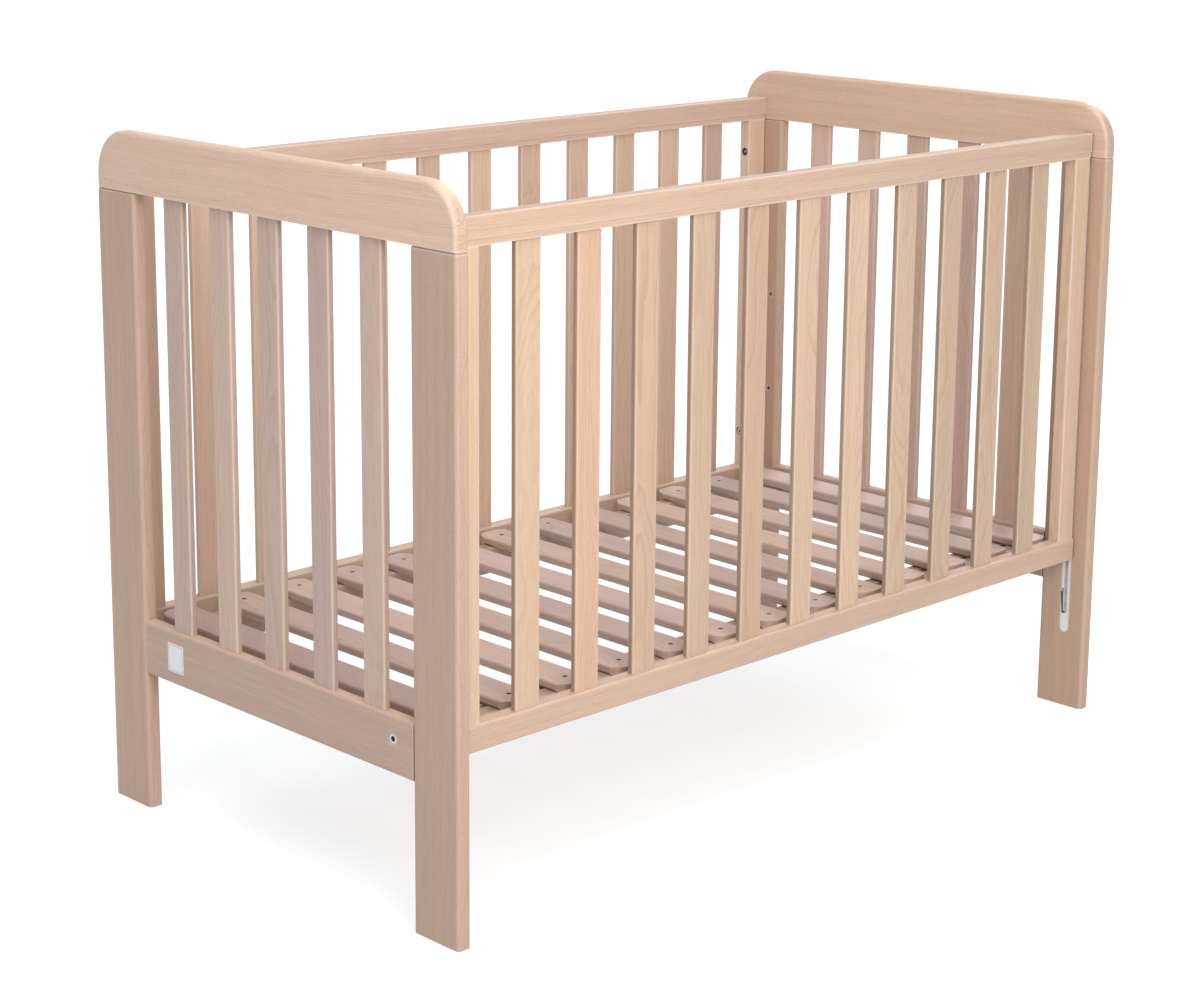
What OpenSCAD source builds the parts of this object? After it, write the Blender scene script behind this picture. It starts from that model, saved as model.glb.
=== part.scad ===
// Slatted baby crib with a drop side, for a 1200 x 600 mattress.
// X runs along the length, -Y is the drop side, and Z = 0 is the floor.

/* [Overall] */
// Length over the two end panels
length = 1240; // [1200:10:1300]
// Depth over the posts, front to back
depth = 692; // [686:2:710]
// Height to the top of the end panels
height = 894; // [884:1:920]

/* [End panels] */
// Thickness of the posts and of the top rails
post_t = 20; // [20:1:22]
// Width of a post, seen from the end of the crib
post_w = 79; // [76:1:82]
// Rounding of the long edges of a post
post_edge_r = 5; // [2:0.5:6]
// Height of the top rail that caps the two posts
top_rail_h = 76; // [70:1:80]
// Radius of the top rail's upper corners, seen from the end
top_corner_r = 58; // [30:1:64]
// Rounding of the top rail's edges
top_edge_r = 6; // [2:0.5:8]
// Underside of the end panel's bottom rail above the floor
end_rail_z = 186; // [180:1:190]
// Height of the end panel's bottom rail
end_rail_h = 72; // [70:1:74]
// How far the bottom rail stands back from the posts' faces
end_rail_setback = 1; // [0.5:0.5:1.5]
// Number of slats in an end panel
end_slat_count = 5; // [4:1:5]

/* [Side panels] */
// Thickness of the side panels' rails
side_t = 22; // [20:1:22]
// How far a side panel stands back from the posts' outer faces
side_setback = 24; // [22:1:26]
// Top of the side panels above the floor
side_top_z = 852; // [840:1:860]
// Height of the top rail's thick cap
cap_h = 27.5; // [26:0.5:32]
// Height of the thinner lip under the cap
lip_h = 7.5; // [5:0.5:9]
// Thickness of the lip and of the stiles
lip_t = 19; // [17:0.5:20]
// Underside of the side panels above the floor
side_bottom_z = 225; // [222:1:228]
// Height of the side panels' bottom rail
side_rail_h = 33; // [30:1:36]
// Number of slats in a side panel
side_slat_count = 11; // [10:1:12]
// Free width between the stiles of a side panel
stile_span = 1126; // [1100:1:1130]

/* [Slats] */
// Width of an upright slat
slat_w = 39; // [34:1:42]
// Thickness of an upright slat
slat_t = 9; // [8:0.5:10]
// How far the side slats stand back from the rails' show face
slat_setback = 4.5; // [3:0.5:6]

/* [Mattress base] */
// Top of the base slats above the floor, at the lowest level
base_top_z = 257; // [256:0.5:258]
// Number of base slats
base_slat_count = 13; // [11:1:13]
// Width of a base slat
base_slat_w = 52; // [44:1:54]
// Distance from the middle of one base slat to the next
base_pitch = 93; // [90:1:94]
// Distance from one mattress level to the next
level_step = 154; // [130:1:156]

/* [Drop side] */
// How far the drop side goes down
drop_travel = 94; // [60:1:94]
// Free play between each end of the drop side and its post
drop_play = 3; // [2.5:0.5:3.5]

/* [Hidden] */
$fn = 48;
eps = 0.5;             // how far a cutter runs past a face

// End panels
half_l = length / 2;
half_d = depth / 2;
inner_x = half_l - post_t;                    // inner face of the posts
post_in_y = half_d - post_w;                  // post's side towards the slats
post_h = height - top_rail_h;
end_rail_x = inner_x + end_rail_setback;      // inner face of the bottom rail
end_rail_t = post_t - 2 * end_rail_setback;
end_rail_top = end_rail_z + end_rail_h;
end_mid_x = half_l - post_t / 2;
post_gap_h = 2;                               // shadow gap between each post and its top rail
post_gap_d = 1.6;

// Side panels
side_out_y = half_d - side_setback;
side_in_y = side_out_y - side_t;
side_mid_y = side_out_y - side_t / 2;
side_rail_top = side_bottom_z + side_rail_h;
lip_z = side_top_z - cap_h - lip_h;           // underside of the top rail
stile_x = stile_span / 2;
drop_half_l = inner_x - drop_play;

// Slats
tenon = 12;
slat_edge_r = 2.5;
tenon_w = slat_w - 6;
function spread(n, pitch) = [for (i = [0 : n - 1]) (i - (n - 1) / 2) * pitch];
function even_pitch(span, n, w) = w + (span - n * w) / (n + 1);
side_slats = spread(side_slat_count, even_pitch(stile_span, side_slat_count, slat_w));
end_slats = spread(end_slat_count, even_pitch(2 * post_in_y, end_slat_count, slat_w));
base_slats = spread(base_slat_count, base_pitch);
slat_show_y = side_t - slat_setback - slat_t; // slat's far face, measured from the panel's far face

// Mattress base
base_slat_t = 12;
base_half_d = side_in_y - 12;                 // half the length of a base slat
base_rail_w = 22;
base_rail_h = 38;
base_rail_y = base_half_d - 15;               // outer face of a side rail
base_rail_l = 2 * (inner_x - 4);
base_under_z = base_top_z - base_slat_t;
bracket_t = 2.5;
bracket_leg = 50;
bracket_h = 28;
bracket_z = base_under_z - bracket_h - 2;

// Tie rail below the base slats
tie_w = 20;
tie_h = 29;
tie_y = -230;
tie_z = base_under_z - 1 - tie_h / 2;

// Fasteners
level_y = base_rail_y + 9;                    // mattress level inserts, from the middle plane
level_z = base_top_z - 27;                    // lowest level
levels = [for (i = [0 : 2]) level_z + i * level_step];
insert_r = 4.5;
insert_l = 14;
bolt_r = 3;
panel_bolt_z = [313, 767];
bolt_sink = 6;                                // depth of the counterbore for a panel bolt's head
dowel_r = 4;
dowel_l = 56;
top_dowel_y = [post_in_y + 20, half_d - 16];
rail_dowel_z = [end_rail_z + 16, end_rail_top - 14];

// Drop side hardware
track_w = 14;
track_d = 10;
track_wall = 1.2;
track_slot = 6;
track_y = -side_mid_y;
stop_h = 28;
low_pin_z = side_bottom_z + side_rail_h / 2;
groove_z = [low_pin_z - drop_travel - 6.5 - stop_h, post_h - 7];
track_z = [groove_z[0] + stop_h, groove_z[1] - stop_h];
pin_r = 2.5;
shoe_r = 5.4;
shoe_t = 5;
pin_z = [low_pin_z, track_z[1] - 6];
catch_pivot = [track_y + 5.5, track_z[0] + 35];
catch_nose_z = track_z[0] + 0.5;
catch_x = inner_x - 0.3;                      // face of the lever nearest the post
catch_t = 1.2;
rivet_r = 1.25;

beech = [0.87, 0.72, 0.58];
beech_pale = [0.91, 0.79, 0.65];
beech_dark = [0.76, 0.59, 0.47];
zinc = [0.75, 0.77, 0.79];
dark_steel = [0.25, 0.24, 0.24];
nylon = [0.94, 0.95, 0.94];

// ---------------------------------------------------------------- shared shapes

// A rectangle with rounded corners, from the origin
module rounded(a, b, r) {
    translate([r, 0]) square([a - 2 * r, b]);
    translate([0, r]) square([a, b - 2 * r]);
    for (x = [r, a - r], y = [r, b - r]) translate([x, y]) circle(r);
}

// A rectangle with only its two upper corners rounded
module rounded_top(a, b, r) {
    square([a, b - r]);
    translate([r, 0]) square([a - 2 * r, b]);
    for (x = [r, a - r]) translate([x, b - r]) circle(r);
}

// Extrudes a flat shape along X (its own axes become Y and Z) or along Y (they become X and Z)
module along_x(l) { rotate([90, 0, 90]) linear_extrude(l) children(); }
module along_y(l) { translate([0, l, 0]) rotate([90, 0, 0]) linear_extrude(l) children(); }

// A cylinder along X or Y that starts at the origin
module rod_x(r, l) { rotate([0, 90, 0]) cylinder(r = r, h = l); }
module rod_y(r, l) { rotate([-90, 0, 0]) cylinder(r = r, h = l); }

module flip_x(on) { mirror([on ? 1 : 0, 0, 0]) children(); }
module flip_y(on) { mirror([0, on ? 1 : 0, 0]) children(); }
module both_x() { for (on = [false, true]) flip_x(on) children(); }
module both_y() { for (on = [false, true]) flip_y(on) children(); }

// A slat that stands between two rails, centred on the origin in X and Y, with a tenon at each end
module slat(z0, z1) {
    translate([-slat_w / 2, -slat_t / 2, z0]) linear_extrude(z1 - z0) rounded(slat_w, slat_t, slat_edge_r);
    slat_tenons(z0, z1);
}

module slat_tenons(z0, z1) {
    for (z = [z0 - tenon, z1 - eps])
        translate([-tenon_w / 2, -slat_t / 2 + 1, z]) cube([tenon_w, slat_t - 2, tenon + eps]);
}

// ---------------------------------------------------------------- end panels, drawn at the right end

module post_body() {
    translate([inner_x, post_in_y, 0])
        linear_extrude(post_h - post_gap_h) rounded(post_t, post_w, post_edge_r);
    translate([inner_x + post_gap_d, post_in_y + post_gap_d, 0])
        linear_extrude(post_h)
            rounded(post_t - 2 * post_gap_d, post_w - 2 * post_gap_d, post_edge_r - post_gap_d);
}

// Holes that every post has: dowels, mattress level inserts
module post_holes() {
    for (y = top_dowel_y) translate([end_mid_x, y, post_h - dowel_l / 2]) cylinder(r = dowel_r, h = dowel_l);
    for (z = rail_dowel_z) translate([end_mid_x, post_in_y - eps, z]) rod_y(dowel_r, dowel_l / 2 + eps);
    for (z = levels) translate([inner_x - eps, level_y, z]) rod_x(insert_r, insert_l + eps);
}

module back_post() {
    color(beech) difference() {
        post_body();
        post_holes();
        for (z = panel_bolt_z) translate([inner_x - eps, side_mid_y, z]) rod_x(insert_r, insert_l + eps);
    }
}

module front_post() {
    color(beech) difference() {
        flip_y(true) post_body();
        flip_y(true) post_holes();
        track_groove();
    }
}

module left_front_post() { flip_x(true) front_post(); }
module right_front_post() { front_post(); }
module left_back_post() { flip_x(true) back_post(); }
module right_back_post() { back_post(); }

// One upper corner of the top rail: a quarter disc with a rounded rim
module top_corner() {
    rotate([90, 0, 90]) rotate_extrude(angle = 90, $fn = 96) {
        flat_r = top_corner_r - top_edge_r;
        square([flat_r, post_t]);
        translate([0, top_edge_r]) square([top_corner_r, post_t - 2 * top_edge_r]);
        for (y = [top_edge_r, post_t - top_edge_r]) translate([flat_r, y]) circle(top_edge_r);
    }
}

module end_top_rail() {
    straight = half_d - top_corner_r;
    shoulder = height - top_corner_r;
    color(beech) difference() {
        union() {
            translate([inner_x, -half_d, post_h])
                linear_extrude(shoulder - post_h) rounded(post_t, depth, top_edge_r);
            translate([inner_x, -straight, shoulder])
                along_y(2 * straight) rounded_top(post_t, top_corner_r, top_edge_r);
            both_y() translate([inner_x, straight, shoulder]) top_corner();
        }
        both_y() for (y = top_dowel_y)
            translate([end_mid_x, y, post_h - eps]) cylinder(r = dowel_r, h = dowel_l / 2 + eps);
        for (y = end_slats) translate([end_mid_x, y, 0]) rotate(90) slat_tenons(end_rail_top, post_h);
    }
}

module left_top_rail() { flip_x(true) end_top_rail(); }
module right_top_rail() { end_top_rail(); }

module end_bottom_rail() {
    color(beech) difference() {
        translate([end_rail_x, -post_in_y, end_rail_z])
            along_y(2 * post_in_y) rounded(end_rail_t, end_rail_h, 4);
        both_y() for (z = rail_dowel_z)
            translate([end_mid_x, post_in_y - dowel_l / 2, z]) rod_y(dowel_r, dowel_l / 2 + eps);
        for (y = end_slats) translate([end_mid_x, y, 0]) rotate(90) slat_tenons(end_rail_top, post_h);
        translate([end_rail_x - eps, tie_y, tie_z]) rod_x(bolt_r, end_rail_t + 2 * eps);
        translate([end_rail_x + end_rail_t - 4, tie_y, tie_z]) rod_x(7, 4 + eps);
    }
}

module left_bottom_rail() { flip_x(true) end_bottom_rail(); }
module right_bottom_rail() { end_bottom_rail(); }

module end_slat_set() {
    color(beech) for (y = end_slats) translate([end_mid_x, y, 0]) rotate(90) slat(end_rail_top, post_h);
}

module left_end_slats() { flip_x(true) end_slat_set(); }
module right_end_slats() { end_slat_set(); }

module end_panel_dowels() {
    color(beech_pale) both_x() both_y() {
        for (y = top_dowel_y)
            translate([end_mid_x, y, post_h - dowel_l / 2]) cylinder(r = dowel_r, h = dowel_l);
        for (z = rail_dowel_z)
            translate([end_mid_x, post_in_y - dowel_l / 2, z]) rod_y(dowel_r, dowel_l);
    }
}

// ---------------------------------------------------------------- side panels
// Drawn in a panel's own frame: Y = 0 is the hidden face and Y = side_t the face on show

module panel_slat_places() {
    for (x = side_slats) translate([x, slat_show_y + slat_t / 2, 0]) children();
}

module stile_tenons(x0, x1) {
    for (z = [side_rail_top - tenon, lip_z - eps])
        translate([x0 + 4, side_t / 2 - 4, z]) cube([x1 - x0 - 8, 8, tenon + eps]);
}

module panel_top_rail(half) {
    color(beech_pale) difference() {
        translate([-half, 0, 0]) along_x(2 * half) {
            translate([0, lip_z + lip_h]) rounded(side_t, cap_h, 1.5);
            translate([0, lip_z + lip_h + 4]) rounded_top(side_t, cap_h - 4, 6);
            translate([(side_t - lip_t) / 2, lip_z]) square([lip_t, lip_h + 4]);
        }
        panel_slat_places() slat_tenons(side_rail_top, lip_z);
        both_x() stile_tenons(stile_x, half);
    }
}

module panel_bottom_rail(half) {
    color(beech_pale) difference() {
        translate([-half, 0, side_bottom_z]) along_x(2 * half) rounded(side_t, side_rail_h, 3);
        panel_slat_places() slat_tenons(side_rail_top, lip_z);
        both_x() stile_tenons(stile_x, half);
    }
}

module panel_stile(half) {
    translate([stile_x, (side_t - lip_t) / 2, side_rail_top])
        linear_extrude(lip_z - side_rail_top) rounded(half - stile_x, lip_t, 2);
    stile_tenons(stile_x, half);
}

module panel_slats() {
    color(beech) panel_slat_places() slat(side_rail_top, lip_z);
}

// The back panel shows its face to the mattress, the drop side shows it to the front
module back_place() { translate([0, side_out_y, 0]) mirror([0, 1, 0]) children(); }
module drop_place() { translate([0, -side_in_y, 0]) mirror([0, 1, 0]) children(); }

module back_top_rail() { back_place() panel_top_rail(inner_x); }
module back_bottom_rail() { back_place() panel_bottom_rail(inner_x); }
module back_slats() { back_place() panel_slats(); }

module back_stile() {
    color(beech) difference() {
        back_place() panel_stile(inner_x);
        for (z = panel_bolt_z) translate([stile_x - eps, side_mid_y, z]) {
            rod_x(bolt_r, inner_x - stile_x + 2 * eps);
            rod_x(6.5, bolt_sink + eps);
        }
    }
}

module back_left_stile() { flip_x(true) back_stile(); }
module back_right_stile() { back_stile(); }

// A bolt along +X: a round head with a hexagon socket, its seat at the origin
module socket_bolt(head_r, head_h, l) {
    difference() {
        translate([-head_h, 0, 0]) rod_x(head_r, head_h);
        translate([-head_h - eps, 0, 0]) rotate([0, 90, 0])
            cylinder(r = head_r * 0.55, h = head_h * 0.6 + eps, $fn = 6);
    }
    translate([-eps / 2, 0, 0]) rod_x(bolt_r, l + eps / 2);
}

module sleeve(l) {
    difference() {
        rod_x(insert_r, l);
        translate([-eps, 0, 0]) rod_x(bolt_r, l + 2 * eps);
    }
}

module back_panel_bolts() {
    color(zinc) both_x() for (z = panel_bolt_z)
        translate([stile_x + bolt_sink, side_mid_y, z])
            socket_bolt(4.9, 4, inner_x + insert_l - stile_x - bolt_sink);
}

module back_panel_inserts() {
    color(zinc) both_x() for (z = panel_bolt_z) translate([inner_x, side_mid_y, z]) sleeve(insert_l);
}

// ---------------------------------------------------------------- drop side

// Guide pins screwed into the ends of the drop side
module pin_holes() {
    both_x() for (z = pin_z) translate([drop_half_l - 20, track_y, z]) rod_x(pin_r, 20 + eps);
}

module drop_side_top_rail() { drop_place() panel_top_rail(drop_half_l); }
module drop_side_slats() { drop_place() panel_slats(); }
module drop_side_bottom_rail() {
    color(beech_pale) difference() {
        drop_place() panel_bottom_rail(drop_half_l);
        pin_holes();
    }
}
module drop_stile() {
    color(beech) difference() {
        drop_place() panel_stile(drop_half_l);
        pin_holes();
    }
}
module drop_side_left_stile() { flip_x(true) drop_stile(); }
module drop_side_right_stile() { drop_stile(); }

shoe_x = inner_x + track_wall + 0.6;
module drop_side_guide_pins() {
    color(zinc) both_x() for (z = pin_z)
        translate([drop_half_l - 20, track_y, z]) rod_x(pin_r, shoe_x + shoe_t - drop_half_l + 20);
}

module drop_side_guide_shoes() {
    color(nylon) both_x() for (z = pin_z) translate([shoe_x, track_y, z]) difference() {
        rod_x(shoe_r, shoe_t);
        translate([-eps, 0, 0]) rod_x(pin_r, shoe_t + 2 * eps);
    }
}

// ---------------------------------------------------------------- tracks in the front posts

// A round-ended groove, from z0 to z1, as deep as the track
module track_slug(z0, z1, round_low, round_high) {
    r = track_w / 2;
    low = round_low ? z0 + r : z0;
    high = round_high ? z1 - r : z1;
    translate([inner_x, track_y - r, low]) cube([track_d, track_w, high - low]);
    if (round_low) translate([inner_x, track_y, low]) rod_x(r, track_d);
    if (round_high) translate([inner_x, track_y, high]) rod_x(r, track_d);
}

module track_groove() {
    track_slug(groove_z[0], groove_z[1], true, true);
    translate([-eps, 0, 0]) track_slug(groove_z[0], groove_z[1], true, true);
}

module track() {
    inside = track_w - 2 * track_wall;
    color(zinc) translate([inner_x, track_y - track_w / 2, track_z[0]]) difference() {
        cube([track_d, track_w, track_z[1] - track_z[0]]);
        translate([track_wall, track_wall, -eps])
            cube([track_d - 2 * track_wall, inside, track_z[1] - track_z[0] + 2 * eps]);
        translate([-eps, (track_w - track_slot) / 2, -eps])
            cube([track_wall + 2 * eps, track_slot, track_z[1] - track_z[0] + 2 * eps]);
        translate([-eps, catch_pivot[0] - track_y + track_w / 2, catch_pivot[1] - track_z[0]])
            rod_x(rivet_r, track_wall + 2 * eps);
    }
}

module left_track() { flip_x(true) track(); }
module right_track() { track(); }

module end_stops() {
    color(nylon) {
        track_slug(groove_z[0], track_z[0], true, false);
        track_slug(track_z[1], groove_z[1], false, true);
    }
}

module left_track_end_stops() { flip_x(true) end_stops(); }
module right_track_end_stops() { end_stops(); }

// A flat spring lever beside the slot: an eye, an arm that narrows downwards, and a hook under the slot
module catch_lever() {
    arm_l = catch_pivot[1] - catch_nose_z;
    hook_in = track_slot;                     // how far the hook reaches towards the slot
    hook_h = 2.5;
    arm_out = 0.9;                            // the arm's lower end, its outer and inner edge
    arm_in = 2.5;
    color(dark_steel) translate([catch_x - catch_t, catch_pivot[0], catch_pivot[1]]) difference() {
        union() {
            along_x(catch_t) polygon([
                [1.3, 0], [-1.5, 0], [-arm_in, hook_h - arm_l], [-hook_in, hook_h - arm_l],
                [-hook_in + 0.6, -arm_l], [-arm_out - 0.4, -arm_l], [-arm_out, hook_h - arm_l]]);
            rod_x(2.6, catch_t);
        }
        translate([-eps, 0, 0]) rod_x(rivet_r + 0.1, catch_t + 2 * eps);
    }
}

module left_catch_lever() { flip_x(true) catch_lever(); }
module right_catch_lever() { catch_lever(); }

module catch_rivet() {
    tip = catch_x - catch_t - 0.2;
    color(zinc) translate([tip, catch_pivot[0], catch_pivot[1]]) {
        rod_x(rivet_r, inner_x + track_wall - tip);
        translate([-0.8, 0, 0]) rod_x(2.2, 0.8);
    }
}

module left_catch_rivet() { flip_x(true) catch_rivet(); }
module right_catch_rivet() { catch_rivet(); }

// ---------------------------------------------------------------- mattress base

module base_screw_places() {
    both_y() for (x = base_slats) translate([x, base_rail_y - base_rail_w / 2, base_top_z]) children();
}

module bracket_screw_places() {
    for (x = [16, 36]) translate([inner_x - x, base_rail_y, bracket_z + bracket_h / 2]) children();
}

module base_rail() {
    color(beech) difference() {
        translate([-base_rail_l / 2, base_rail_y - base_rail_w, base_under_z - base_rail_h])
            along_x(base_rail_l) rounded(base_rail_w, base_rail_h, 2);
        for (x = base_slats) translate([x, base_rail_y - base_rail_w / 2, base_under_z - 20])
            cylinder(r = 1.75, h = 20 + eps);
        both_x() bracket_screw_places() translate([0, -14, 0]) rod_y(1.75, 14 + eps);
    }
}

module base_back_rail() { base_rail(); }
module base_front_rail() { flip_y(true) base_rail(); }

// A slat with rounded long edges and rounded ends
module base_slat() {
    intersection() {
        translate([-base_slat_w / 2, -base_half_d, 0])
            along_y(2 * base_half_d) rounded(base_slat_w, base_slat_t, 3.5);
        translate([-base_slat_w / 2, -base_half_d, -eps])
            linear_extrude(base_slat_t + 2 * eps) rounded(base_slat_w, 2 * base_half_d, 18);
    }
}

module base_slats() {
    color(beech_dark) difference() {
        for (x = base_slats) translate([x, 0, base_under_z]) base_slat();
        base_screw_places() {
            translate([0, 0, -base_slat_t - eps]) cylinder(r = 1.75, h = base_slat_t + 2 * eps);
            translate([0, 0, -1.9]) cylinder(r = 3.6, h = 1.9 + eps);
        }
    }
}

module base_slat_screws() {
    color(dark_steel) base_screw_places() {
        translate([0, 0, -base_slat_t - 20]) cylinder(r = 1.75, h = base_slat_t + 19);
        translate([0, 0, -1.9]) cylinder(r = 3.3, h = 1.5);
    }
}

// Steel angle at each corner: one leg on the side rail, the other on the post
module corner_bracket() {
    foot = 19;
    difference() {
        union() {
            translate([inner_x - bracket_leg, base_rail_y, bracket_z])
                cube([bracket_leg, bracket_t, bracket_h]);
            translate([inner_x - bracket_t, base_rail_y, bracket_z]) cube([bracket_t, foot, bracket_h]);
        }
        translate([inner_x - bracket_t - eps, level_y, level_z]) rod_x(bolt_r, bracket_t + 2 * eps);
        bracket_screw_places() translate([0, -eps, 0]) rod_y(1.75, bracket_t + 2 * eps);
    }
}

module base_corner_brackets() { color(zinc) both_x() both_y() corner_bracket(); }

module base_bracket_screws() {
    color(zinc) both_x() both_y() bracket_screw_places() {
        translate([0, -14, 0]) rod_y(1.75, 14 + bracket_t + 0.5);
        translate([0, bracket_t, 0]) rod_y(3.5, 1.6);
    }
}

module base_level_bolts() {
    color(zinc) both_x() both_y() translate([inner_x - bracket_t, level_y, level_z])
        socket_bolt(5, 4, bracket_t + insert_l);
}

module mattress_level_inserts() {
    color(zinc) both_x() both_y() for (z = levels) translate([inner_x, level_y, z]) sleeve(insert_l);
}

// ---------------------------------------------------------------- tie rail between the end panels

tie_nut_x = end_rail_x - 30;
module tie_rail() {
    color(beech_dark) difference() {
        translate([-end_rail_x, tie_y - tie_w / 2, tie_z - tie_h / 2])
            along_x(2 * end_rail_x) rounded(tie_w, tie_h, 2);
        both_x() {
            translate([tie_nut_x - 14, tie_y, tie_z]) rod_x(bolt_r, end_rail_x - tie_nut_x + 14 + eps);
            translate([tie_nut_x, tie_y - tie_w / 2 - eps, tie_z]) rod_y(5, tie_w + 2 * eps);
        }
    }
}

module tie_rail_bolts() {
    seat = end_rail_x + end_rail_t - 4;
    color(zinc) both_x() translate([seat, tie_y, tie_z]) mirror([1, 0, 0])
        socket_bolt(6.5, 3.6, seat - tie_nut_x + 10);
}

module tie_rail_barrel_nuts() {
    color(zinc) both_x() translate([tie_nut_x, tie_y - tie_w / 2 + 1, tie_z]) difference() {
        rod_y(5, tie_w - 2);
        translate([-6, tie_w / 2 - 1, 0]) rod_x(bolt_r, 12);
    }
}

// ---------------------------------------------------------------- plain label on the left end

module label_plate() {
    color(nylon) translate([-half_l + end_rail_setback - 0.4, post_in_y - 81, end_rail_z + 17])
        along_x(0.4) rounded(33, 38, 2);
}

left_front_post();
left_back_post();
right_front_post();
right_back_post();
left_top_rail();
right_top_rail();
left_bottom_rail();
right_bottom_rail();
left_end_slats();
right_end_slats();
end_panel_dowels();
back_top_rail();
back_bottom_rail();
back_left_stile();
back_right_stile();
back_slats();
back_panel_bolts();
back_panel_inserts();
drop_side_top_rail();
drop_side_bottom_rail();
drop_side_left_stile();
drop_side_right_stile();
drop_side_slats();
drop_side_guide_pins();
drop_side_guide_shoes();
left_track();
right_track();
left_track_end_stops();
right_track_end_stops();
left_catch_lever();
right_catch_lever();
left_catch_rivet();
right_catch_rivet();
base_front_rail();
base_back_rail();
base_slats();
base_slat_screws();
base_corner_brackets();
base_bracket_screws();
base_level_bolts();
mattress_level_inserts();
tie_rail();
tie_rail_bolts();
tie_rail_barrel_nuts();
label_plate();
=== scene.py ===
"""A slatted beech baby crib with a drop side: its looks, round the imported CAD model.

Everything is in metres, in the frame of the CAD model: X along the length, -Y the drop side, Z up.
"""

import math

import bmesh
import bpy
from mathutils import Matrix, Vector


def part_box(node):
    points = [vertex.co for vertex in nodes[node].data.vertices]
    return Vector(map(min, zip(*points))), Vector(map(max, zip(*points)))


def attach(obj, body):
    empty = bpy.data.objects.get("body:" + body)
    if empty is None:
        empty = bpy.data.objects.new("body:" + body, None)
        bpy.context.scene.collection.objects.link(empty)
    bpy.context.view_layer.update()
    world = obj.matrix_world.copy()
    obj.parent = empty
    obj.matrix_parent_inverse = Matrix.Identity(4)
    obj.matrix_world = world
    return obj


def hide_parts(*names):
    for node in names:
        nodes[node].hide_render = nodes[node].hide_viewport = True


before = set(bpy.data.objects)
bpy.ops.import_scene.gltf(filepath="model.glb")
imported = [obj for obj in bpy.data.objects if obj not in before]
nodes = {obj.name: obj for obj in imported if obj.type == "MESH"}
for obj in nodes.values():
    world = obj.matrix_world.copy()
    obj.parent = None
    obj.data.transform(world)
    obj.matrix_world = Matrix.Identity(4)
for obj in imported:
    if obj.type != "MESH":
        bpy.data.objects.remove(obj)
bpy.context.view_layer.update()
MM = 0.001


# ---------------------------------------------------------------- camera

CAMERA_PLACE = (-2.4628, -2.4456, 1.2866)
CAMERA_YAW = math.radians(44.51)     # from +Y towards +X
CAMERA_PITCH = math.radians(12.22)   # downwards
CAMERA_ROLL = math.radians(0.49)
CAMERA_LENS = 77.90                  # mm, on a 36 mm sensor
CAMERA_SHIFT_Y = -0.10               # keeps the posts nearer to upright, as a product photo does


def add_camera():
    data = bpy.data.cameras.new("camera")
    data.sensor_width = 36
    data.lens = CAMERA_LENS
    data.shift_y = CAMERA_SHIFT_Y
    camera = bpy.data.objects.new("camera", data)
    turn = (Matrix.Rotation(-CAMERA_YAW, 4, "Z") @ Matrix.Rotation(math.pi / 2 - CAMERA_PITCH, 4, "X")
            @ Matrix.Rotation(CAMERA_ROLL, 4, "Z"))
    camera.matrix_world = Matrix.Translation(CAMERA_PLACE) @ turn
    bpy.context.scene.collection.objects.link(camera)
    bpy.context.scene.camera = camera


# ---------------------------------------------------------------- node trees

class Graph:
    """A node tree, with a short call for each kind of node. Calls return the node's output socket."""

    def __init__(self, tree):
        self.tree = tree
        tree.nodes.clear()

    def node(self, kind, inputs=(), **settings):
        made = self.tree.nodes.new("ShaderNode" + kind)
        for name, value in settings.items():
            setattr(made, name, value)
        for key, value in dict(inputs).items():
            if isinstance(value, bpy.types.NodeSocket):
                self.tree.links.new(value, made.inputs[key])
            else:
                made.inputs[key].default_value = value
        return made

    def math(self, operation, *values, clamp=False):
        return self.node("Math", enumerate(values), operation=operation, use_clamp=clamp).outputs[0]

    def vector(self, operation, a, b):
        key = "Scale" if operation == "SCALE" else 1
        made = self.node("VectorMath", {0: a, key: b}, operation=operation)
        return made.outputs["Value" if operation in ("DOT_PRODUCT", "LENGTH") else "Vector"]

    def combine(self, *values):
        return self.node("CombineXYZ", enumerate(values)).outputs[0]

    def separate(self, vector):
        return self.node("SeparateXYZ", {0: vector}).outputs

    def noise(self, vector, detail=2.0, roughness=0.5, scale=1.0):
        return self.node("TexNoise", {"Vector": vector, "Scale": scale, "Detail": detail,
                                      "Roughness": roughness})

    def ramp(self, value, low, high, to_low=0.0, to_high=1.0, smooth=True):
        """Maps low..high to to_low..to_high, clamped."""
        made = self.node("MapRange", {"Value": value, "From Min": low, "From Max": high,
                                      "To Min": to_low, "To Max": to_high},
                         interpolation_type="SMOOTHSTEP" if smooth else "LINEAR")
        return made.outputs["Result"]

    def mix(self, factor, a, b, blend="MIX"):
        made = self.node("Mix", data_type="RGBA", blend_type=blend)
        for key, value in ((0, factor), (6, a), (7, b)):
            if isinstance(value, bpy.types.NodeSocket):
                self.tree.links.new(value, made.inputs[key])
            else:
                made.inputs[key].default_value = value if key == 0 else (*value, 1.0)
        return made.outputs[2]


def new_material(name, colour):
    material = bpy.data.materials.new(name)
    material.use_nodes = True
    material.diffuse_color = (*colour, 1.0)
    return material, Graph(material.node_tree)


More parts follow.
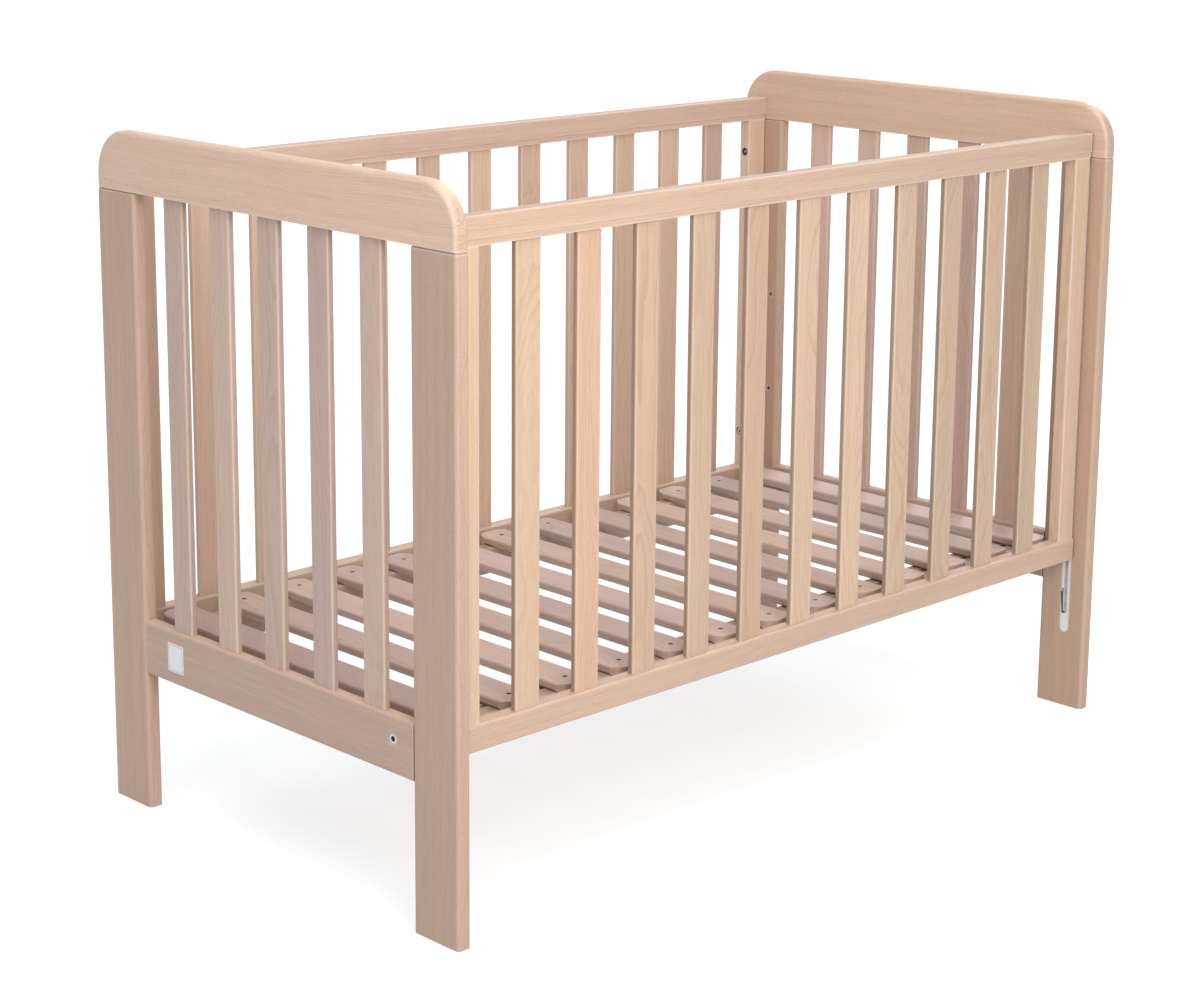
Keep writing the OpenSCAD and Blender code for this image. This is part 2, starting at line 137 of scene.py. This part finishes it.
def shade(graph, colour, roughness, height=None, height_mm=0.1, **constants):
    """Ends a material in a Principled shader. Inputs that don't vary are set on its own sockets."""
    shader = graph.node("BsdfPrincipled", {"Base Color": colour, "Roughness": roughness})
    for name, value in constants.items():
        socket = shader.inputs[name.replace("_", " ").title().replace("Ior", "IOR")]
        if isinstance(value, bpy.types.NodeSocket):
            graph.tree.links.new(value, socket)
        else:
            socket.default_value = value
    if height is not None:
        bump = graph.node("Bump", {"Height": height, "Strength": 1.0, "Distance": height_mm * MM})
        graph.tree.links.new(bump.outputs[0], shader.inputs["Normal"])
    graph.node("OutputMaterial", {"Surface": shader.outputs[0]})


def object_mm(graph):
    """Place in the row frame, in millimetres."""
    return graph.vector("SCALE", graph.node("TexCoord").outputs["Object"], 1000.0)


def edge_mask(graph, radius_mm, sharpness):
    """1 on outer edges, 0 on flat faces."""
    round_normal = graph.node("Bevel", {"Radius": radius_mm * MM}, samples=4).outputs[0]
    true_normal = graph.node("NewGeometry").outputs["Normal"]
    agreement = graph.vector("DOT_PRODUCT", round_normal, true_normal)
    return graph.ramp(agreement, 1.0, sharpness)


def painted_shade_mask(graph, reach_mm):
    """Painted shade: 1 deep in joints and gaps, 0 on open faces."""
    open_sky = graph.node("AmbientOcclusion", {"Distance": reach_mm * MM}, samples=4).outputs["AO"]
    return graph.ramp(open_sky, 0.62, 0.15)


# ---------------------------------------------------------------- beech

AXES = "xyz"
RING_PITCH = 3.1                     # mm between growth rings
PITH_ASIDE = 150.0                   # mm from the middle of a post or rail to the tree's pith, to one side
SLAT_RINGS, RAIL_RINGS = 0.78, 0.6   # how strongly the growth rings show on slats, and on posts and rails
SANDED_EDGE_AND_HIGHLIGHT = (0.84, 0.68, 0.575)     # sanded edges, lighter also as a painted highlight
PAINTED_SHADE_DARK = (0.20, 0.115, 0.075)  # painted shade in joints and gaps
FLECK_DARK = (0.30, 0.17, 0.105)
LATE_WOOD_TINT = (0.88, 0.81, 0.74)

BASE_SLAT_COUNT = 13
SIDE_SLATS = (11, 0.039)             # number and width in metres
END_SLATS = (5, 0.039)
BASE_SLATS = (BASE_SLAT_COUNT, 0.052)

# How a group of members looks: the yellower and the pinker colour that its pieces lie between,
# how far towards pink they lie on average, and how much separate pieces differ. For slats, the last
# entry is how bright their narrow sides are beside their faces: painted shade on those sides.
LOOKS = {
    "post": dict(honey=(0.570, 0.396, 0.275), rose=(0.535, 0.362, 0.280), pink=0.5, spread=0.3),
    # arch is lighter than far_arch and post, partly as painted light on the more brightly lit near top rail
    "arch": dict(honey=(0.800, 0.575, 0.420), rose=(0.760, 0.530, 0.415), pink=0.5, spread=0.3),
    "far_arch": dict(honey=(0.740, 0.530, 0.385), rose=(0.700, 0.490, 0.370), pink=0.3, spread=0.3),
    "end_rail": dict(honey=(0.560, 0.390, 0.290), rose=(0.520, 0.360, 0.295), pink=0.6, spread=0.3),
    "front_rail": dict(honey=(0.600, 0.425, 0.305), rose=(0.560, 0.385, 0.295), pink=0.4, spread=0.3),
    "back_rail": dict(honey=(0.650, 0.475, 0.360), rose=(0.615, 0.440, 0.355), pink=0.5, spread=0.3),
    "front_slat": dict(honey=(0.615, 0.445, 0.315), rose=(0.610, 0.405, 0.285), pink=0.4, spread=0.9,
                       painted_side_shade=0.62),
    "back_slat": dict(honey=(0.680, 0.490, 0.360), rose=(0.640, 0.450, 0.355), pink=0.5, spread=0.7,
                      painted_side_shade=0.95),
    "end_slat": dict(honey=(0.610, 0.447, 0.350), rose=(0.605, 0.439, 0.380), pink=0.7, spread=0.6,
                     painted_side_shade=0.82),
    # far_slat is lighter than end_slat, partly as painted light on the more brightly lit far end slats
    "far_slat": dict(honey=(0.680, 0.500, 0.375), rose=(0.665, 0.480, 0.410), pink=0.55, spread=0.7,
                     painted_side_shade=0.82),
    "base_slat": dict(honey=(0.620, 0.455, 0.360), rose=(0.600, 0.437, 0.390), pink=0.6, spread=0.8,
                      painted_side_shade=0.82),
    "base_rail": dict(honey=(0.460, 0.320, 0.230), rose=(0.420, 0.290, 0.225), pink=0.5, spread=0.3),
}

# Look, grain direction, width direction, node, and for sets the number and width of the slats
MEMBERS = [
    ("post", "z", "y", "left_front_post"),
    ("post", "z", "y", "left_back_post"),
    ("post", "z", "y", "right_front_post"),
    ("post", "z", "y", "right_back_post"),
    ("arch", "y", "z", "left_top_rail"),
    ("far_arch", "y", "z", "right_top_rail"),
    ("end_rail", "y", "z", "left_bottom_rail"),
    ("end_rail", "y", "z", "right_bottom_rail"),
    ("end_slat", "z", "y", "left_end_slats", *END_SLATS),
    ("far_slat", "z", "y", "right_end_slats", *END_SLATS),
    ("post", "z", "x", "end_panel_dowels"),
    ("back_rail", "x", "z", "back_top_rail"),
    ("back_rail", "x", "z", "back_bottom_rail"),
    ("back_slat", "z", "x", "back_left_stile"),
    ("back_slat", "z", "x", "back_right_stile"),
    ("back_slat", "z", "x", "back_slats", *SIDE_SLATS),
    ("front_rail", "x", "z", "drop_side_top_rail"),
    ("front_rail", "x", "z", "drop_side_bottom_rail"),
    ("front_slat", "z", "x", "drop_side_left_stile"),
    ("front_slat", "z", "x", "drop_side_right_stile"),
    ("front_slat", "z", "x", "drop_side_slats", *SIDE_SLATS),
    ("base_rail", "x", "z", "base_front_rail"),
    ("base_rail", "x", "z", "base_back_rail"),
    ("base_slat", "y", "x", "base_slats", *BASE_SLATS),
    ("base_rail", "x", "z", "tie_rail"),
]


class Board:
    """Where a point lies on its own piece of wood, in millimetres, and what sets that piece apart."""

    def __init__(self, g, name, grain, width, count, piece_width):
        low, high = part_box(name)
        middle = (low + high) / 2 * 1000
        thickness = next(a for a in AXES if a not in (grain, width))
        place = g.separate(object_mm(g))
        self.in_set = count > 1
        self.seed = float(sum(ord(letter) for letter in name))
        self.along, self.across, self.through = (
            g.math("SUBTRACT", place[k], middle[k]) for k in map(AXES.index, (grain, width, thickness)))

        # A number for each slat of a set, and its own random values
        index = 0.0
        if self.in_set:
            k = AXES.index(width)
            pitch = ((high - low)[k] - piece_width) / (count - 1) * 1000
            steps = g.math("ADD", g.math("DIVIDE", self.across, pitch), (count - 1) / 2)
            index = g.math("ROUND", steps)
            self.across = g.math("MULTIPLY", g.math("SUBTRACT", steps, index), pitch)
        own = g.node("TexWhiteNoise", {"W": g.math("ADD", index, self.seed)}, noise_dimensions="1D")
        self.tone, self.lot, self.turn = g.separate(own.outputs["Color"])
        self.far_along = g.math("ADD", self.along, g.math("MULTIPLY", self.lot, 7000.0))

    def stretched(self, g, across_mm, along_mm):
        """Texture coordinates drawn out along the grain."""
        return g.combine(g.math("DIVIDE", self.across, across_mm), g.math("DIVIDE", self.through, across_mm),
                         g.math("DIVIDE", self.far_along, along_mm))

    def streaks(self, g, across_mm, along_mm, detail):
        return g.noise(self.stretched(g, across_mm, along_mm), detail=detail, roughness=0.6).outputs[0]


def late_wood(g, board):
    """Growth rings, from 0 in early wood to 1 in the darkest late wood.

    The pith lies off the board and wanders along it: to one side of the posts and rails, which gives
    them straight lines, and behind the slats, which gives some of them arches."""
    drift = g.noise(g.combine(g.math("DIVIDE", board.far_along, 330.0), board.tone, board.seed), detail=1.0)
    drift_across, drift_through, _ = g.separate(g.vector("SUBTRACT", drift.outputs["Color"], (0.5, 0.5, 0.5)))
    pith_across = g.math("ADD", g.math("MULTIPLY", g.math("SUBTRACT", board.turn, 0.5), 110.0),
                         g.math("MULTIPLY", drift_across, 55.0))
    pith_across = g.math("ADD", pith_across, 0.0 if board.in_set else PITH_ASIDE)
    pith_through = g.math("ADD", g.math("MULTIPLY", board.lot, 60.0), 38.0)
    pith_through = g.math("ADD", pith_through, g.math("MULTIPLY", drift_through, 60.0))
    radius = g.vector("LENGTH", g.combine(g.math("SUBTRACT", board.across, pith_across),
                                          g.math("ADD", board.through, pith_through), 0.0), (0.0, 0.0, 0.0))
    lumps = g.noise(board.stretched(g, 16.0, 150.0), detail=2.0).outputs[0]
    ring = g.math("DIVIDE", g.math("ADD", radius, g.math("MULTIPLY", lumps, 7.0)), RING_PITCH)
    late = g.ramp(g.math("FRACT", ring), 0.35, 0.95)
    year = g.node("TexWhiteNoise", {"W": g.math("FLOOR", ring)}, noise_dimensions="1D").outputs["Value"]
    return g.math("MULTIPLY", late, g.ramp(year, 0.0, 1.0, 0.25, 1.0))


def ray_flecks(g, board, mottle):
    """Short dark dashes along the grain, denser in some stretches than in others."""
    cells = g.node("TexVoronoi", {"Vector": board.stretched(g, 1.7, 6.0), "Scale": 1.0})
    fleck = g.ramp(cells.outputs["Distance"], 0.34, 0.12)
    fleck = g.math("MULTIPLY", fleck, g.ramp(g.separate(cells.outputs["Color"])[0], 0.3, 0.75))
    return g.math("MULTIPLY", fleck, g.ramp(mottle, 0.35, 0.65, 0.25, 1.0))


def board_colour(g, board, look, mottle):
    """Between honey and rose for each piece, with slow changes along it."""
    pink = g.math("ADD", g.math("MULTIPLY", g.math("SUBTRACT", board.tone, 0.5), look["spread"] * 1.6),
                  look["pink"], clamp=True)
    pink = g.math("ADD", pink, g.math("MULTIPLY", g.math("SUBTRACT", mottle, 0.5), 0.7), clamp=True)
    return g.mix(pink, look["honey"], look["rose"])


def board_value(g, board, look, fibre, end, side):
    """How light the wood is: by piece, streak and fibre, darker on end grain, and with painted shade on the
    narrow sides of slats.
    """
    spread = look["spread"]
    value = g.ramp(board.turn, 0.0, 1.0, 1.0 - 0.16 * spread, 1.0 + 0.10 * spread, smooth=False)
    broad = board.streaks(g, 9.0, 420.0, 3.0)
    value = g.math("MULTIPLY", value, g.ramp(broad, 0.25, 0.75, 0.93, 1.06, smooth=False))
    value = g.math("MULTIPLY", value, g.ramp(fibre, 0.25, 0.75, 0.90, 1.08, smooth=False))
    value = g.math("MULTIPLY", value, g.ramp(end, 0.0, 1.0, 1.0, 0.84))
    if board.in_set:
        # Painted shade on the narrow sides of slats
        value = g.math("MULTIPLY", value, g.ramp(g.math("ABSOLUTE", side), 0.6, 0.95, 1.0, look["painted_side_shade"]))
    pores = g.noise(object_mm(g), detail=2.0, scale=0.75).outputs[0]
    speckle = g.math("MULTIPLY", end, g.ramp(pores, 0.35, 0.65, 0.22, -0.06, smooth=False))
    return g.math("MULTIPLY", value, g.math("SUBTRACT", 1.0, speckle))


def beech(name, look, grain, width, count=1, piece_width=0.0):
    """A solid block of beech: growth rings round a far pith, streaks, fibres, ray flecks, end grain."""
    material, g = new_material("beech_" + name, look["honey"])
    board = Board(g, name, grain, width, count, piece_width)
    late = late_wood(g, board)
    fibre = board.streaks(g, 1.1, 42.0, 3.0)
    mottle = board.streaks(g, 70.0, 160.0, 2.0)
    fleck = ray_flecks(g, board, mottle)

    # End grain where the face looks along the grain
    facing = g.separate(g.node("TexCoord").outputs["Normal"])
    end = g.ramp(g.math("ABSOLUTE", facing[AXES.index(grain)]), 0.55, 0.93)
    side = facing[AXES.index(width)]

    colour = board_colour(g, board, look, mottle)
    colour = g.vector("SCALE", colour, board_value(g, board, look, fibre, end, side))
    end_rings = g.ramp(end, 0.0, 1.0, SLAT_RINGS if board.in_set else RAIL_RINGS, 1.0)
    ring_tint = g.mix(g.math("MULTIPLY", late, end_rings), (1, 1, 1), LATE_WOOD_TINT)
    colour = g.mix(1.0, colour, ring_tint, "MULTIPLY")
    colour = g.mix(g.math("MULTIPLY", fleck, 0.42), colour, FLECK_DARK)
    # Sanded edges, lightened also as a painted highlight
    colour = g.mix(g.math("MULTIPLY", edge_mask(g, 4.0, 0.9), 0.6), colour, SANDED_EDGE_AND_HIGHLIGHT)
    # Painted shade in joints and gaps
    colour = g.mix(g.math("MULTIPLY", painted_shade_mask(g, 8.0), 0.6), colour, PAINTED_SHADE_DARK)

    rough = g.ramp(fibre, 0.2, 0.8, 0.36, 0.52, smooth=False)
    rough = g.math("ADD", rough, g.math("MULTIPLY", end, 0.14))
    height = g.math("ADD", g.math("MULTIPLY", fibre, 0.7), g.math("MULTIPLY", late, -0.25))
    height = g.math("ADD", height, g.math("MULTIPLY", fleck, -0.35))
    shade(g, colour, rough, height, height_mm=0.16, specular_ior_level=0.5)
    return material


# ---------------------------------------------------------------- other materials

def steel(name, colour, dark, roughness, wear, wear_colour, metallic):
    """Plated or blackened steel: cloudy patches, fine drawing marks and bright edges."""
    material, g = new_material(name, colour)
    place = object_mm(g)
    cloud = g.noise(place, detail=4.0, scale=0.12).outputs[0]
    marks = g.noise(g.vector("MULTIPLY", place, (2.2, 2.2, 0.08)), detail=2.0).outputs[0]
    speck = g.noise(place, detail=3.0, scale=1.4).outputs[0]
    tint = g.mix(g.ramp(cloud, 0.35, 0.7), colour, dark)
    tint = g.mix(g.ramp(speck, 0.62, 0.75, 0.0, 0.5), tint, dark)
    tint = g.mix(g.math("MULTIPLY", edge_mask(g, 0.4, 0.8), wear), tint, wear_colour)
    rough = g.ramp(marks, 0.3, 0.7, roughness - 0.09, roughness + 0.10, smooth=False)
    height = g.math("ADD", g.math("MULTIPLY", marks, 0.6), g.math("MULTIPLY", speck, 0.4))
    shade(g, tint, rough, height, height_mm=0.03, metallic=metallic)
    return material


def socket_head_material(name, axis_y, sockets):
    """Bolt heads seen end on: each with one tone inside the hexagon socket and another outside it; a black
    socket is painted shade in its recess, a bright one a painted reflection.

    sockets gives, for each height of bolt, the socket's radius and the tones inside and outside, in mm."""
    material, g = new_material(name, (0.5, 0.5, 0.5))
    place = object_mm(g)
    _, y, z = g.separate(place)
    grain = g.noise(place, detail=3.0, scale=0.9).outputs[0]
    tint = (0.70, 0.71, 0.73)
    for height, radius, inside, outside in sockets:
        offset = g.combine(0.0, g.math("SUBTRACT", y, axis_y), g.math("SUBTRACT", z, height))
        distance = g.vector("LENGTH", offset, (0.0, 0.0, 0.0))
        face = g.mix(g.ramp(distance, radius + 0.3, radius - 0.3), outside, inside)
        tint = g.mix(g.ramp(distance, 30.0, 25.0), tint, face)
    tint = g.mix(g.ramp(grain, 0.4, 0.8, 0.0, 0.35), tint, (0.10, 0.10, 0.105))
    shade(g, tint, g.ramp(grain, 0.3, 0.7, 0.30, 0.48, smooth=False), grain, height_mm=0.03, metallic=0.55)
    return material


def plastic(name, colour, shadow, roughness):
    """Moulded nylon: slightly cloudy, with a fine spark-eroded skin."""
    material, g = new_material(name, colour)
    place = object_mm(g)
    cloud = g.noise(place, detail=3.0, scale=0.08).outputs[0]
    skin = g.noise(place, detail=4.0, scale=3.0).outputs[0]
    tint = g.mix(g.ramp(cloud, 0.35, 0.7), colour, shadow)
    rough = g.ramp(skin, 0.3, 0.7, roughness - 0.06, roughness + 0.08, smooth=False)
    shade(g, tint, rough, skin, height_mm=0.03, subsurface_weight=0.12, subsurface_scale=0.002)
    return material


def label_material():
    """A plain white sticker with a thin grey line round its edge."""
    low, high = (corner * 1000 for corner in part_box("label_plate"))
    middle, half = (low + high) / 2, (high - low) / 2
    material, g = new_material("label", (0.8, 0.8, 0.8))
    place = object_mm(g)
    local = g.separate(g.vector("SUBTRACT", place, tuple(middle)))
    inset = g.math("MINIMUM", g.math("SUBTRACT", half[1], g.math("ABSOLUTE", local[1])),
                   g.math("SUBTRACT", half[2], g.math("ABSOLUTE", local[2])))
    line = g.math("MULTIPLY", g.ramp(inset, 1.5, 1.8), g.ramp(inset, 2.6, 2.3))
    fibre = g.noise(place, detail=4.0, scale=1.1).outputs[0]
    paper = g.mix(g.ramp(fibre, 0.3, 0.7), (0.86, 0.86, 0.86), (0.78, 0.78, 0.79))
    tint = g.mix(g.math("MULTIPLY", line, 0.8), paper, (0.32, 0.33, 0.34))
    shade(g, tint, g.ramp(fibre, 0.3, 0.7, 0.38, 0.52, smooth=False), fibre, height_mm=0.02)
    return material


def dress(name, material):
    """Gives a CAD node its material."""
    slots = nodes[name].data.materials
    slots.clear()
    slots.append(material)


ZINC_NODES = ["back_panel_inserts", "drop_side_guide_pins",
              "left_catch_rivet", "right_catch_rivet", "base_corner_brackets", "base_bracket_screws",
              "base_level_bolts", "mattress_level_inserts", "tie_rail_barrel_nuts"]
TRACK_NODES = ["left_track", "right_track"]
DARK_NODES = ["left_catch_lever", "right_catch_lever"]
NYLON_NODES = ["drop_side_guide_shoes", "left_track_end_stops", "right_track_end_stops"]
BOLT_BRIGHT, BOLT_BLACK = (0.78, 0.79, 0.80), (0.012, 0.012, 0.013)
PANEL_SOCKET_R, TIE_SOCKET_R = 2.5, 3.4   # mm

# Hardware whose sharp edges are broken, and by how much, in millimetres
CHAMFERS = {"back_panel_bolts": 0.5, "tie_rail_bolts": 0.5, "base_level_bolts": 0.5,
            "base_bracket_screws": 0.5, "base_corner_brackets": 0.4, "back_panel_inserts": 0.3,
            "mattress_level_inserts": 0.3, "left_catch_lever": 0.25, "right_catch_lever": 0.25,
            "left_catch_rivet": 0.3, "right_catch_rivet": 0.3, "left_track_end_stops": 0.4,
            "right_track_end_stops": 0.4, "tie_rail_barrel_nuts": 0.5}


def chamfer(piece, width_mm):
    """Breaks a piece's sharp edges, as plating and tumbling do."""
    weld = piece.modifiers.new("weld", "WELD")
    weld.merge_threshold = 0.01 * MM
    bevel = piece.modifiers.new("bevel", "BEVEL")
    bevel.width = width_mm * MM
    bevel.segments = 2
    bevel.limit_method = "ANGLE"
    bevel.angle_limit = math.radians(40)


SCREW_TURNS = 24                     # thread ridges on a slat screw
SCREW_SIDES = 24
SCREW_HEAD_R, SCREW_HEAD_H = 3.3, 1.5
SCREW_SHANK_R, SCREW_TIP_R = 1.75, 0.15
SCREW_TIP_H = 0.4
THREAD_ROOT = 0.72                   # the thread's root radius as a share of its outer radius
SCREW_SPIN = 1.1                     # radians from one screw's cross to the next one's
CROSS_LONG, CROSS_WIDE = 2.0, 0.6    # half the length and half the width of the cross recess, mm


def ring(shape, radius, z):
    return [shape.verts.new((radius * math.cos(turn), radius * math.sin(turn), z))
            for turn in (2 * math.pi * k / SCREW_SIDES for k in range(SCREW_SIDES))]


def loft(shape, below, above):
    for k, corner in enumerate(below):
        after = (k + 1) % len(below)
        shape.faces.new((corner, below[after], above[after], above[k]))


def cross(shape, scale, z):
    """The outline of a cross recess, from its arm on +X, anticlockwise."""
    long, wide = CROSS_LONG * scale, CROSS_WIDE
    arm = [(long, -wide), (long, wide), (wide, wide)]
    points = list(arm)
    for _ in range(3):
        arm = [(-y, x) for x, y in arm]
        points += arm
    return [shape.verts.new((x, y, z)) for x, y in points]


def slat_screw_mesh(length):
    """A pan head screw with a cross recess and a thread, in millimetres, its head's top at z = 0."""
    shape = bmesh.new()
    tip = shape.verts.new((0, 0, -length))
    thread_l = length - SCREW_HEAD_H - SCREW_TIP_H
    turns = []
    for k in range(SCREW_TURNS * 2 + 1):
        share = k / (SCREW_TURNS * 2)
        taper = SCREW_SHANK_R * 6 * share + SCREW_TIP_R
        radius = min(SCREW_SHANK_R if k % 2 else SCREW_SHANK_R * THREAD_ROOT, taper)
        turns.append(ring(shape, radius, -length + SCREW_TIP_H + share * thread_l))
    head = [(1.0, 1.0), (1.0, 0.45), (0.93, 0.12), (0.80, 0.0)]
    levels = turns + [ring(shape, SCREW_HEAD_R * out, -SCREW_HEAD_H * down) for out, down in head]
    for k, corner in enumerate(levels[0]):
        shape.faces.new((tip, levels[0][(k + 1) % SCREW_SIDES], corner))
    for below, above in zip(levels, levels[1:]):
        loft(shape, below, above)
    mouth, bottom = cross(shape, 1.0, 0), cross(shape, 0.7, -SCREW_HEAD_H * 0.8)
    loft(shape, bottom, mouth)
    shape.faces.new(bottom)
    pairs = [pair for line in (levels[-1], mouth) for pair in zip(line, line[1:] + line[:1])]
    edges = [shape.edges.get(pair) or shape.edges.new(pair) for pair in pairs]
    bmesh.ops.triangle_fill(shape, edges=edges, use_beauty=True)
    bmesh.ops.recalc_face_normals(shape, faces=shape.faces)
    return shape


def add_slat_screws(material):
    """One screw in each end of each base slat, where the plain CAD screws are."""
    low, high = (corner * 1000 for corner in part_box("base_slat_screws"))
    screw = slat_screw_mesh(high[2] - low[2])
    first_x = low[0] + SCREW_HEAD_R
    span_x = high[0] - low[0] - 2 * SCREW_HEAD_R
    places = [(first_x + span_x * k / (BASE_SLAT_COUNT - 1), y)
              for k in range(BASE_SLAT_COUNT) for y in (low[1] + SCREW_HEAD_R, high[1] - SCREW_HEAD_R)]
    whole = bmesh.new()
    single = bpy.data.meshes.new("slat_screw")
    for number, (x, y) in enumerate(places):
        turned = screw.copy()
        spin = Matrix.Rotation(number * SCREW_SPIN, 4, "Z")
        turned.transform(Matrix.Scale(MM, 4) @ Matrix.Translation((x, y, high[2])) @ spin)
        turned.to_mesh(single)
        whole.from_mesh(single)
        turned.free()
    mesh = bpy.data.meshes.new("base_slat_screws_detailed")
    whole.to_mesh(mesh)
    whole.free()
    screw.free()
    mesh.materials.append(material)
    piece = bpy.data.objects.new("base_slat_screws_detailed", mesh)
    bpy.context.scene.collection.objects.link(piece)
    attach(piece, "crib_frame")
    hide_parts("base_slat_screws")


def dress_all():
    for look, grain, width, name, *count_and_width in MEMBERS:
        dress(name, beech(name, LOOKS[look], grain, width, *count_and_width))
    zinc = steel("zinc_plate", (0.80, 0.80, 0.81), (0.62, 0.63, 0.65), 0.36, 0.5, (0.90, 0.90, 0.90), 0.9)
    dark = steel("spring_steel", (0.050, 0.046, 0.043), (0.025, 0.024, 0.023), 0.42, 0.6,
                 (0.30, 0.29, 0.28), 0.6)
    nylon = plastic("nylon", (0.80, 0.83, 0.82), (0.72, 0.77, 0.76), 0.45)
    track = steel("matt_zinc", (0.86, 0.84, 0.84), (0.76, 0.74, 0.74), 0.5, 0.4, (0.92, 0.91, 0.91), 0.15)
    low, high = (corner * 1000 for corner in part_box("back_panel_bolts"))
    axis_y, head_r = (low[1] + high[1]) / 2, (high[1] - low[1]) / 2
    # The black inside the lower bolts' sockets is painted shade in the recess; the bright inside the upper
    # bolts' sockets is a painted reflection
    panel_bolts = socket_head_material("panel_bolt_heads", axis_y, (
        (low[2] + head_r, PANEL_SOCKET_R, BOLT_BLACK, BOLT_BRIGHT),
        (high[2] - head_r, PANEL_SOCKET_R, BOLT_BRIGHT, BOLT_BLACK)))
    low, high = (corner * 1000 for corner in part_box("tie_rail_bolts"))
    # The black inside the socket is painted shade in the recess
    tie_bolts = socket_head_material("tie_bolt_heads", (low[1] + high[1]) / 2, (
        ((low[2] + high[2]) / 2, TIE_SOCKET_R, BOLT_BLACK, BOLT_BRIGHT),))
    for names, material in ((ZINC_NODES, zinc), (TRACK_NODES, track), (DARK_NODES, dark),
                            (NYLON_NODES, nylon), (["label_plate"], label_material()),
                            (["back_panel_bolts"], panel_bolts), (["tie_rail_bolts"], tie_bolts)):
        for name in names:
            dress(name, material)
    for name, width_mm in CHAMFERS.items():
        chamfer(nodes[name], width_mm)
    add_slat_screws(dark)


# ---------------------------------------------------------------- floor and light

FLOOR_RADIUS = 14.0
FLOOR_GLOW, FLOOR_GLOW_SEEN = 0.15, 0.42     # for all light, and what the camera sees on top of it
WORLD_LIGHT, WORLD_SEEN = 0.61, 1.05
LIGHTS = [
    ("key", "AREA", (-1.15, -2.15, 1.7), (0, 0, 0.5), 37.5, (1.0, 0.945, 0.87), dict(size=1.2)),
    ("top", "SUN", (-0.3, -0.5, 1.6), (0, 0, 0), 1.15, (0.90, 0.95, 1.0), dict(angle=math.radians(40))),
    ("fill", "SUN", (1.6, 0.7, 1.1), (0, 0, 0), 0.9, (0.92, 0.96, 1.0), dict(angle=math.radians(24))),
]


def add_floor():
    """A plain white floor that glows a little, as a lit cove does, so that shadows on it stay pale."""
    mesh = bpy.data.meshes.new("floor")
    shape = bmesh.new()
    bmesh.ops.create_circle(shape, cap_ends=True, segments=96, radius=FLOOR_RADIUS)
    shape.to_mesh(mesh)
    shape.free()
    floor = bpy.data.objects.new("floor", mesh)
    bpy.context.scene.collection.objects.link(floor)
    material, g = new_material("floor", (0.9, 0.9, 0.9))
    grain = g.noise(object_mm(g), detail=3.0, scale=0.02).outputs[0]
    camera_ray = g.node("LightPath").outputs["Is Camera Ray"]
    glow = g.math("ADD", g.math("MULTIPLY", camera_ray, FLOOR_GLOW_SEEN), FLOOR_GLOW)
    shade(g, g.mix(grain, (0.50, 0.53, 0.54), (0.52, 0.55, 0.56)), g.ramp(grain, 0.0, 1.0, 0.75, 0.85),
          specular_ior_level=0.2, emission_color=(1.0, 0.995, 0.99, 1.0), emission_strength=glow)
    mesh.materials.append(material)


def add_light(name, kind, place, target, power, colour, settings):
    """A soft light at place that faces target. Only its light shows, not the lamp."""
    data = bpy.data.lights.new(name, kind)
    data.energy = power
    data.color = colour
    for key, value in settings.items():
        setattr(data, key, value)
    light = bpy.data.objects.new(name, data)
    light.location = place
    light.rotation_euler = (Vector(target) - Vector(place)).to_track_quat("-Z", "Y").to_euler()
    light.visible_camera = False
    bpy.context.scene.collection.objects.link(light)


def add_world():
    """Even light from all round; the camera sees it as plain white."""
    world = bpy.data.worlds.new("studio")
    world.use_nodes = True
    bpy.context.scene.world = world
    g = Graph(world.node_tree)
    light = g.node("Background", {"Color": (0.965, 0.965, 1.0, 1.0), "Strength": WORLD_LIGHT})
    seen = g.node("Background", {"Color": (1.0, 1.0, 1.0, 1.0), "Strength": WORLD_SEEN})
    camera_ray = g.node("LightPath").outputs["Is Camera Ray"]
    both = g.node("MixShader", {0: camera_ray, 1: light.outputs[0], 2: seen.outputs[0]})
    g.node("OutputWorld", {"Surface": both.outputs[0]})


add_camera()
bpy.context.scene.view_settings.view_transform = "Standard"
add_world()
add_floor()
for light in LIGHTS:
    add_light(*light)
dress_all()
